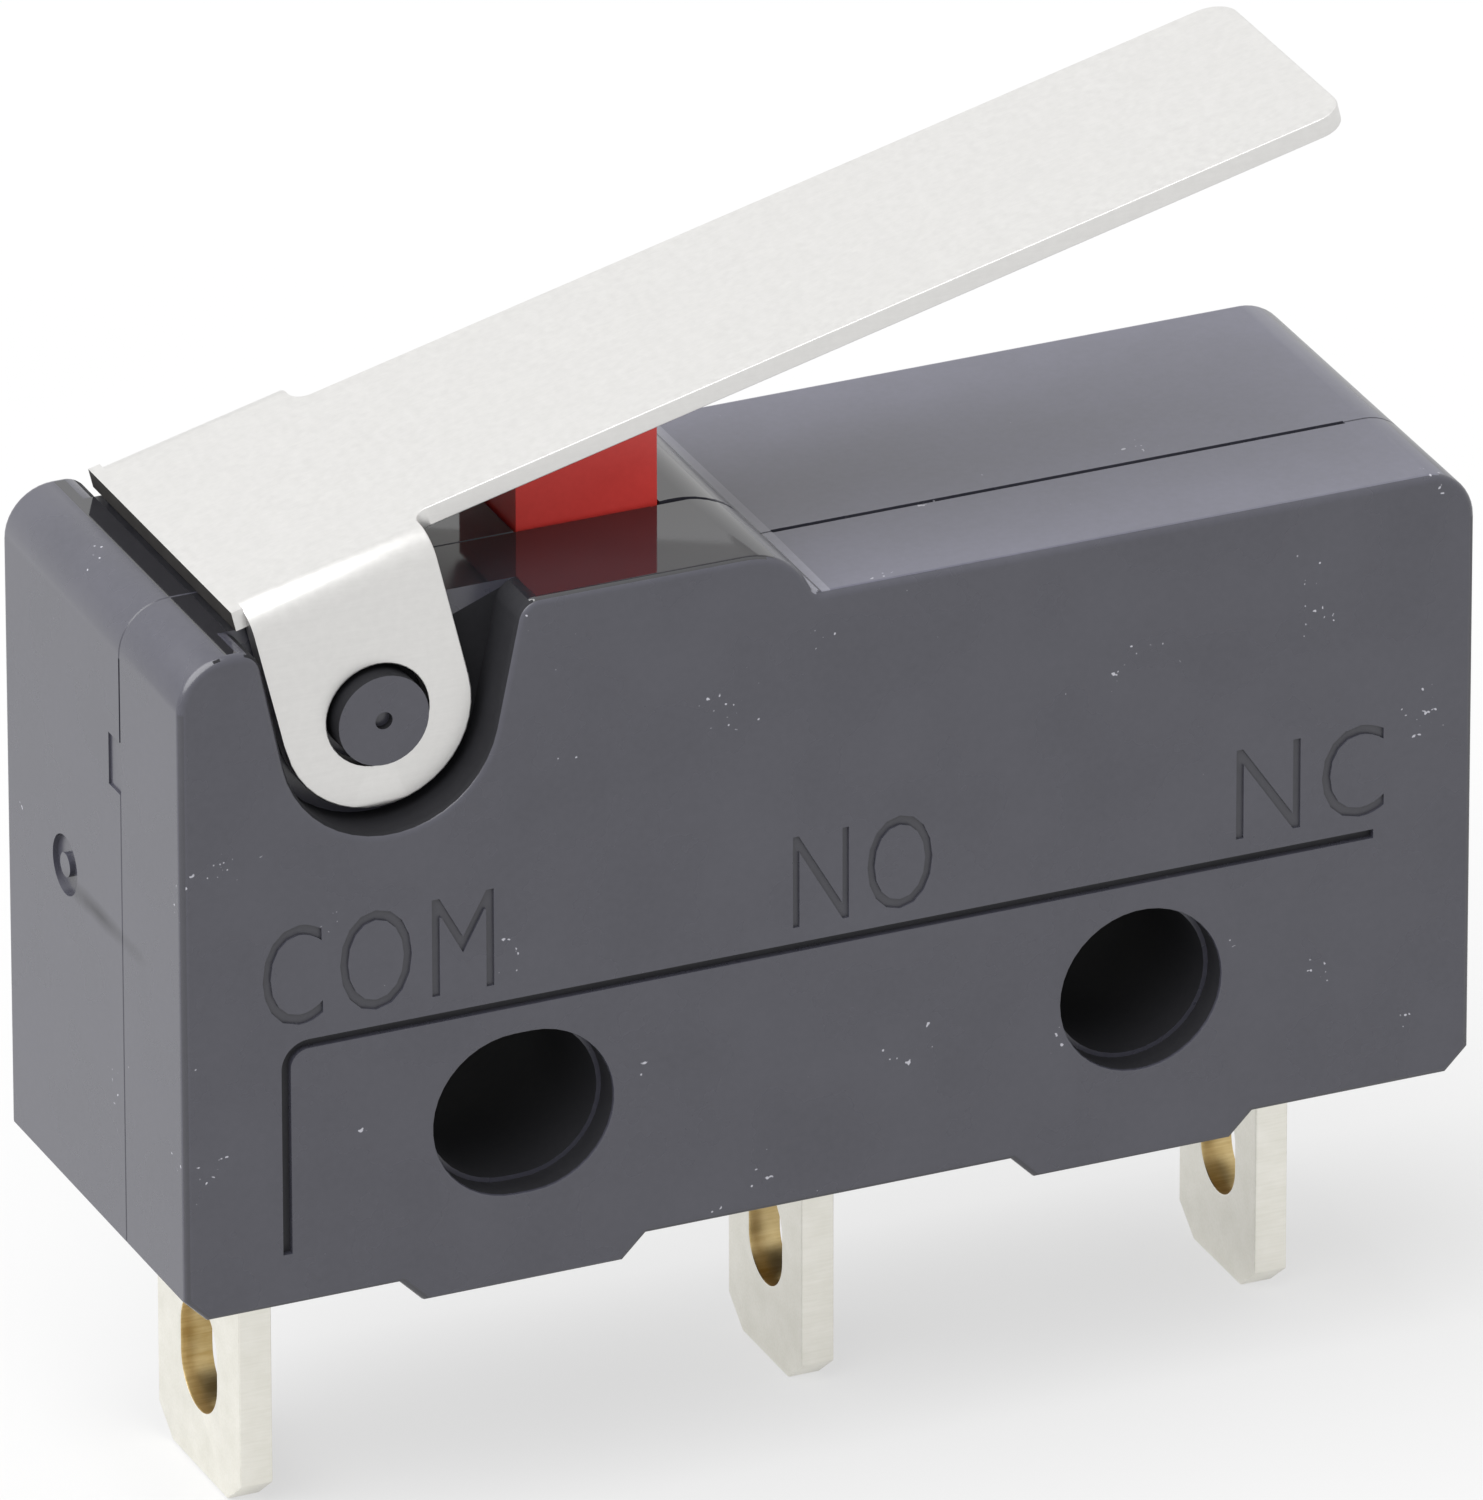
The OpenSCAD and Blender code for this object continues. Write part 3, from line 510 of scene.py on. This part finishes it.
shell_finishes = [dark_pbt, shade_painted_deck_pbt, shade_painted_hollow_pbt, mark_pbt, light_painted_roof_pbt, highlight_painted_foot_pbt, line_pbt]
_, PAINTED_SHADE_DECK, PAINTED_SHADE_HOLLOW, MARK, PAINTED_LIGHT_ROOF, PAINTED_HIGHLIGHT_FOOT, LINE = range(len(shell_finishes))
front_shell = clean_copy("cover", "front_shell", shell_finishes)
rear_shell = clean_copy("case", "rear_shell", shell_finishes)
for shell, plane in ((front_shell, front), (rear_shell, back)):
    soften(shell, 0.12, 4, on_rim(plane))
    soften(shell, 0.04, 2, on_bore(plane))
    soften(shell, 0.02, 1, on_seam)

# %% The open seam and the notch in the left end
slit = 0.045  # half the width of the open seam on the roof and the deck
hairline = 0.025  # and on the left end
seam_cuts = [
    ((foot_of_ramp + 0.05, seam - slit, roof - 0.15), (4.1, seam + slit, roof + 0.2)),
    ((left - 0.2, seam - hairline, 5.05), (left + 0.1, seam + hairline, 7.1)),
]
for shell in (front_shell, rear_shell):
    for low, high in seam_cuts:
        cut(shell, block(low, high))
    # On the deck the slit wanders by 0.05 mm. It is set off a little, so that no face of the cutter
    # lies in the seam's own plane, which would spoil the cut
    wavy = block((-6.61, seam - slit, deck - 0.35), (-5.35, seam + slit, deck + 0.2))
    bpy.ops.object.mode_set(mode="EDIT")
    bpy.ops.mesh.select_all(action="SELECT")
    bpy.ops.mesh.subdivide(number_cuts=7)
    bpy.ops.object.mode_set(mode="OBJECT")
    for vertex in wavy.data.vertices:
        vertex.co.y += 0.05 * mm * math.sin(4.5 * (vertex.co.x / mm + 6.6)) + 0.0037 * mm
    cut(shell, wavy)
cut(rear_shell, block((left - 0.2, seam - 0.1, 5.0), (left + 0.03, seam + 0.42, 5.8)))

# %% [markdown]
# ## Lettering
# The terminals are named by their role: COM (common), NO (normally open) and NC (normally closed). The
# letters are 1.5 mm high, thin, and engraved 0.04 mm deep over the line.

# %% Lettering
def engrave(piece, word, x_low, x_high, z_low, z_high, depth=0.04):
    """Cuts a word into the front face, stretched to fill the given box."""
    half_block = 0.2  # half the thickness of the letters as a cutter
    bpy.ops.object.text_add()
    letters = bpy.context.object
    letters.data.body = word
    letters.data.offset = -0.011
    letters.data.extrude = 0.5
    letters.data.resolution_u = 4
    letters.data.space_character = 1.12
    bpy.ops.object.convert(target="MESH")
    letters = bpy.context.object
    bpy.ops.object.mode_set(mode="EDIT")
    bpy.ops.mesh.select_all(action="SELECT")
    bpy.ops.mesh.remove_doubles(threshold=0.0001)
    bpy.ops.mesh.normals_make_consistent(inside=False)
    bpy.ops.object.mode_set(mode="OBJECT")
    xs = [vertex.co.x for vertex in letters.data.vertices]
    ys = [vertex.co.y for vertex in letters.data.vertices]
    wide = (x_high - x_low) / (max(xs) - min(xs)) * mm
    high = (z_high - z_low) / (max(ys) - min(ys)) * mm
    letters.rotation_euler = (math.radians(90), 0, 0)
    letters.scale = (wide, high, 2 * half_block * mm)
    letters.location = (x_low * mm - min(xs) * wide, (front + depth - half_block) * mm,
                        z_low * mm - min(ys) * high)
    bpy.ops.object.transform_apply(location=True, rotation=True, scale=True)
    cut(piece, letters)
    print("engraved", word)


words = {"COM": (-13.44, -9.94, 2.06, 3.60), "NO": (-5.38, -3.24, 2.03, 3.48), "NC": (1.46, 3.76, 2.05, 3.48)}
for word, field in words.items():
    engrave(front_shell, word, *field)

# %% [markdown]
# ## Finishes of the shells
# The deck between the ear pockets and the ramp shines, and its near-black colour is painted shade. Bores and
# pockets are dull, and painted near black as shade. The roof is painted paler as painted light, and the foot
# of the ramp gets a painted highlight. The floors of the letters and of the line are a little darker than the
# face.

# %% Painting the shells
# Each rule takes a face's centre p, in mm, and its normal n
def in_bore(p, n):
    round_x = min(abs(p.x), max(abs(p.x - slot_x) - 0.15, 0))
    return abs(n.y) < 0.5 and math.hypot(round_x, p.z) < 1.3 and front + 0.06 < p.y < back - 0.06


def in_pocket(p, n):
    deep = front + 0.03 < p.y < seam if p.y < 0 else p.y < back - 0.03
    on_boss = n.y < -0.5 and math.hypot(p.x - boss_x, p.z - boss_z) < 0.75
    in_field = left + 0.5 < p.x < -8.9 and 3.9 < p.z < deck - 0.03 and abs(p.y) > 1.1
    return deep and in_field and not on_boss


def in_marks(p, n):
    return n.y < -0.5 and front + 0.01 < p.y < front + 0.06 and p.z < 4.2


def in_line(p, n):
    return n.y < -0.5 and front + 0.06 < p.y < front + 0.15 and p.z < 4.2 and not on_outline(p.x, p.z)


def on_deck(p, n):
    return n.z > 0.8 and p.z > deck - 0.08 and -11 < p.x < foot_of_ramp - 0.8


def on_roof(p, n):
    return n.z > 0.9 and abs(p.z - roof) < 0.05 and p.x > foot_of_ramp


def on_ramp_foot(p, n):
    return n.z > 0.5 and roof + 0.005 < p.z < roof + 0.14 and foot_of_ramp - 0.35 < p.x < foot_of_ramp + 0.05


def at_roof_start(p, n):
    return n.z > 0.9 and abs(p.z - roof) < 0.05 and foot_of_ramp - 0.1 < p.x < foot_of_ramp + 0.04


# %% Painting and handing over the shells
for shell in (front_shell, rear_shell):
    # A strip of roof along the foot of the ramp is cut off, so that it can share the fillet's painted
    # highlight
    select_only(shell)
    bpy.ops.object.mode_set(mode="EDIT")
    bpy.ops.mesh.select_mode(type="FACE")
    bpy.ops.mesh.select_all(action="DESELECT")
    bpy.ops.object.mode_set(mode="OBJECT")
    for face in shell.data.polygons:
        face.select = on_roof(face.center / mm, face.normal)
    bpy.ops.object.mode_set(mode="EDIT")
    bpy.ops.mesh.bisect(plane_co=((foot_of_ramp + 0.03) * mm, 0, 0), plane_no=(1, 0, 0))
    bpy.ops.object.mode_set(mode="OBJECT")
    # The roof is painted paler than the face, as painted light from the lamp above
    paint(shell, PAINTED_LIGHT_ROOF, on_roof)
    # The ramp's foot fillet and the start of the roof get a painted highlight
    paint(shell, PAINTED_HIGHLIGHT_FOOT, on_ramp_foot)
    paint(shell, PAINTED_HIGHLIGHT_FOOT, at_roof_start)
    # The deck is painted near black, as painted shade under the lever
    paint(shell, PAINTED_SHADE_DECK, on_deck)
    # Bores and pockets are painted near black, as painted shade
    paint(shell, PAINTED_SHADE_HOLLOW, in_bore)
    paint(shell, PAINTED_SHADE_HOLLOW, in_pocket)
paint(front_shell, MARK, in_marks)
paint(front_shell, LINE, in_line)
hand_over(front_shell, "cover", "housing")
hand_over(rear_shell, "case", "housing")

# %% [markdown]
# ## Lever, plunger and terminals
# The strip's edges are softened by 0.03 mm, except the tail, which is left as the shear cut it. The
# upright corners of the plunger's head are round, and the edges lower down are softened by 0.04 mm.

# %% Lever
lever_strip = clean_copy("lever", "lever_strip", [lever_steel, shade_painted_tail_steel])
soften(lever_strip, 0.03, 2, lambda x, y, z: x > -13.0)
# The tail's end face gets the painted shade of the gap it sits in
paint(lever_strip, 1, lambda p, n: n.x < -0.6 and p.x < -13.35)
hand_over(lever_strip, "lever", "lever")

# %% Plunger
red_plunger = clean_copy("plunger", "red_plunger", [red_acetal])
plunger_low, plunger_high = corners("plunger")
centre_x = (plunger_low[0] + plunger_high[0]) / 2
head = deck - 1.4
soften(red_plunger, 0.2, 5, lambda x, y, z: z > head and abs(x - centre_x) < 1.2, upright=True)
soften(red_plunger, 0.04, 2, lambda x, y, z: z < head)
hand_over(red_plunger, "plunger", "plunger")

# %% Terminals
for node, name in (("com_terminal", "com_tab"), ("no_terminal", "no_tab"), ("nc_terminal", "nc_tab")):
    tab = clean_copy(node, name, [plated_brass, raw_brass])
    soften(tab, 0.03, 2, lambda x, y, z: True)
    paint(tab, 1, lambda p, n: abs(n.x) < 0.75 and abs(p.y) < 0.72 and feet - 3.2 < p.z < base)
    hand_over(tab, node, "housing")

# %% Finishes of the pieces inside
inner = {"rocker": spring_steel, "coil_spring": spring_steel, "blade": blade_copper,
         "moving_contact": contact_silver, "no_contact": contact_silver, "nc_contact": contact_silver}
for node, finish in inner.items():
    frame["nodes"][node].data.materials.clear()
    frame["nodes"][node].data.materials.append(finish)

# %% Size
low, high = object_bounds()
print("visual box in mm:", [round(v / mm, 2) for v in high - low])
